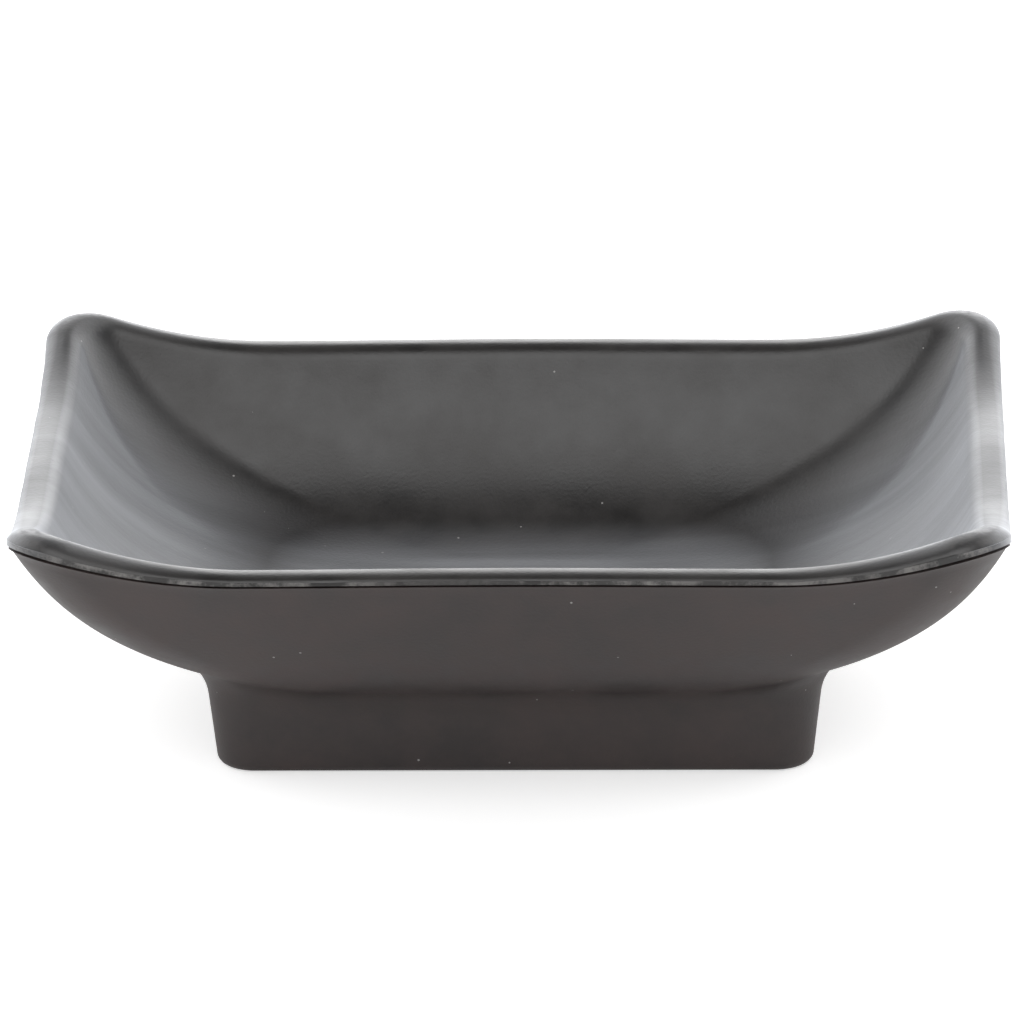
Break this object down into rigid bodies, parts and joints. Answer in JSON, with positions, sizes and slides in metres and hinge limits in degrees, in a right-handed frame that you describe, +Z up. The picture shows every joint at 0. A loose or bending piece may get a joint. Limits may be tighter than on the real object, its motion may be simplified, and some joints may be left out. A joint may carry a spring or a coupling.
{
  "type": "soy sauce dish",
  "caption": "Small rectangular sauce dish with raised corners, dipped sides, a flared bowl and a hollow rectangular foot, for holding dipping sauce at the table.",
  "frame": {"origin": "on the table, under the middle of the foot", "axes": "+X along the long side, +Y towards the back long side, +Z up out of the bowl"},
  "size_m": [0.095, 0.07, 0.0295],
  "materials": {
    "outer_shell": "matte black moulded melamine, fine mould grain",
    "inner_liner": "satin black moulded melamine, trimmed and buffed at the rim"
  },
  "bodies": {
    "root": {"outer_shell": "outer_shell", "inner_liner": "inner_liner"}
  },
  "joints": []
}
